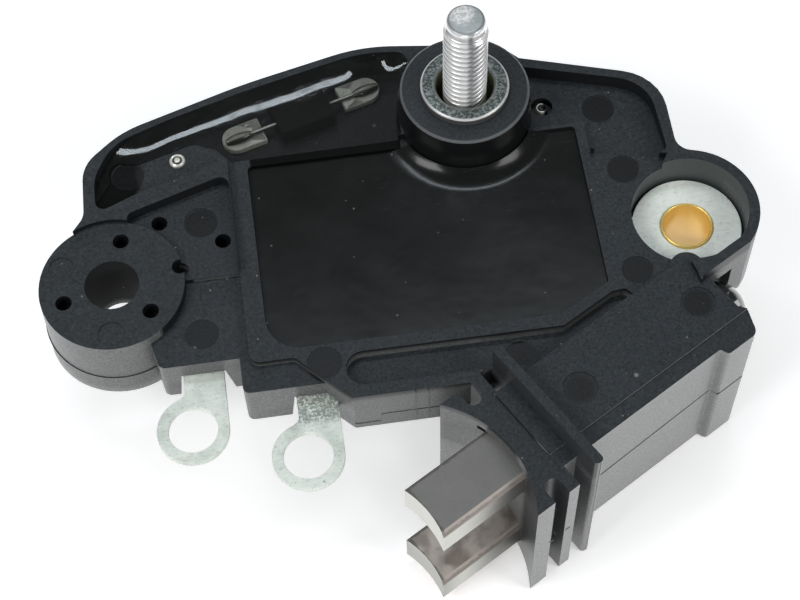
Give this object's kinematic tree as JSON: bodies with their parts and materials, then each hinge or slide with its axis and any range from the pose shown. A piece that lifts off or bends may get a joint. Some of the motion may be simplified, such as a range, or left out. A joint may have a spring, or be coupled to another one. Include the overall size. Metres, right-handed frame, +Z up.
{
  "type": "alternator voltage regulator",
  "caption": "Alternator voltage regulator: black moulded plate with mounting ears, a potted circuit, a threaded output stud, ring lugs and a holder with sprung carbon brushes.",
  "frame": {"origin": "on the axis of the left mounting bore, in the plane that the two ears seat on", "axes": "+X to the right mounting bore, +Z up along the bores and the stud, +Y towards the stud's side; the brushes point 210 degrees round from +X"},
  "size_m": [0.0974, 0.0736, 0.0465],
  "materials": {
    "black_plastic": "fine spark-textured moulding",
    "potting_resin": "glossy potting resin",
    "clear_resin": "clear dark resin",
    "zinc_steel": "zinc plated",
    "zinc_sleeve": "dull zinc plated",
    "tinned_metal": "tinned",
    "tinned_plate": "matt tinned",
    "tinned_lug": "matt tinned",
    "pad_metal": "tinned under resin",
    "brass": "bright",
    "capacitor_case": "dipped",
    "lead_wire": "tinned",
    "solder": "smooth",
    "pin_metal": "tinned",
    "carbon": "copper-graphite, satin",
    "spring_steel": "bright",
    "copper_braid": "bare braid",
    "plug_plastic": "glossy",
    "aluminium": "milled",
    "ceramic": "matt white",
    "chip_epoxy": "moulded"
  },
  "bodies": {
    "base": {"housing": "black_plastic", "cavity_resin": "potting_resin", "channel_resin": "clear_resin", "terminal_stud": "zinc_steel", "stud_sleeve": "zinc_sleeve", "output_strip": "tinned_metal", "ground_plate": "tinned_plate", "ear_bush": "brass", "left_lug": "tinned_lug", "right_lug": "tinned_lug", "left_pad": "pad_metal", "right_pad": "pad_metal", "capacitor": "capacitor_case", "left_lead": "lead_wire", "right_lead": "lead_wire", "left_solder": "solder", "right_solder": "solder", "left_pin": "pin_metal", "right_pin": "pin_metal", "upper_spring": "spring_steel", "lower_spring": "spring_steel", "upper_pigtail": "copper_braid", "lower_pigtail": "copper_braid", "upper_terminal": "tinned_metal", "lower_terminal": "tinned_metal", "rear_plug": "plug_plastic", "heat_sink": "aluminium", "circuit_board": "ceramic", "control_chip": "chip_epoxy", "power_chip": "chip_epoxy"},
    "upper_brush": {"upper_brush": "carbon"},
    "lower_brush": {"lower_brush": "carbon"}
  },
  "joints": [
    {"name": "upper_brush_slide", "type": "slide", "parent": "base", "child": "upper_brush", "axis": [0.866, 0.5, 0], "range_m": [0, 0.012], "stiffness_N_per_m": 200, "springref_m": -0.012, "deforming": ["upper_spring", "upper_pigtail"]},
    {"name": "lower_brush_slide", "type": "slide", "parent": "base", "child": "lower_brush", "axis": [0.866, 0.5, 0], "range_m": [0, 0.012], "stiffness_N_per_m": 200, "springref_m": -0.012, "deforming": ["lower_spring", "lower_pigtail"]}
  ]
}
